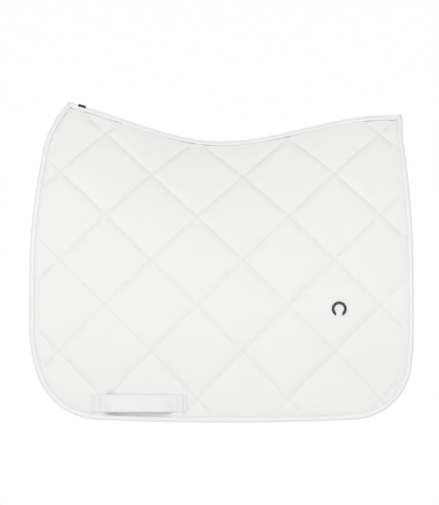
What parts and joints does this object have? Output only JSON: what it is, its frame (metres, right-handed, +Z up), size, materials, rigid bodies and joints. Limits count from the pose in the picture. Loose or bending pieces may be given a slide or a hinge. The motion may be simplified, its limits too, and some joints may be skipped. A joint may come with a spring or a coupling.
{
  "type": "dressage saddle pad",
  "caption": "Quilted, shaped cotton saddle pad with a raised withers, padded flaps, rolled edge binding, webbing girth loops and metal badges.",
  "frame": {"origin": "underside of the spine seam at its dip, mid-length, where the pad rests on the horse's back or a saddle rack", "axes": "+X from the withers end to the rear, +Y across the back towards the horse's right, +Z up"},
  "size_m": [0.67, 0.3412, 0.5598],
  "materials": {
    "cotton_shell": "white cotton twill with a soft sheen",
    "polyester_wadding": "soft white fibre",
    "cotton_lining": "matt white cotton",
    "binding_tape": "smooth white woven tape",
    "piping_cord": "twisted white fibre",
    "webbing": "flat woven white webbing",
    "sewing_thread": "white polyester thread",
    "woven_label": "plain dark woven tape, no lettering",
    "black_metal": "gloss black coated metal",
    "zinc_washer": "plain zinc"
  },
  "bodies": {
    "spine": {"spine_tape": "binding_tape", "seam_tape": "binding_tape", "size_label": "woven_label", "yoke_shell_left": "cotton_shell", "yoke_wadding_left": "polyester_wadding", "yoke_lining_left": "cotton_lining", "yoke_binding_left": "binding_tape", "yoke_cord_left": "piping_cord", "yoke_shell_right": "cotton_shell", "yoke_wadding_right": "polyester_wadding", "yoke_lining_right": "cotton_lining", "yoke_binding_right": "binding_tape", "yoke_cord_right": "piping_cord"},
    "flap_left": {"flap_shell_left": "cotton_shell", "flap_wadding_left": "polyester_wadding", "flap_lining_left": "cotton_lining", "flap_binding_left": "binding_tape", "flap_cord_left": "piping_cord", "girth_strap_left": "webbing", "strap_bartacks_left": "sewing_thread", "badge_left": "black_metal", "badge_washers_left": "zinc_washer"},
    "flap_right": {"flap_shell_right": "cotton_shell", "flap_wadding_right": "polyester_wadding", "flap_lining_right": "cotton_lining", "flap_binding_right": "binding_tape", "flap_cord_right": "piping_cord", "girth_strap_right": "webbing", "strap_bartacks_right": "sewing_thread", "badge_right": "black_metal", "badge_washers_right": "zinc_washer"}
  },
  "joints": [
    {"name": "flap_left_swing", "type": "hinge", "parent": "spine", "child": "flap_left", "pos_m": [0, -0.06, -0.05], "axis": [-1, 0, 0], "range_deg": [-17, 75], "deforming": ["yoke_shell_left", "yoke_wadding_left", "yoke_lining_left", "yoke_binding_left", "yoke_cord_left"]},
    {"name": "flap_right_swing", "type": "hinge", "parent": "spine", "child": "flap_right", "pos_m": [0, 0.06, -0.05], "axis": [1, 0, 0], "range_deg": [-17, 75], "deforming": ["yoke_shell_right", "yoke_wadding_right", "yoke_lining_right", "yoke_binding_right", "yoke_cord_right"]}
  ]
}
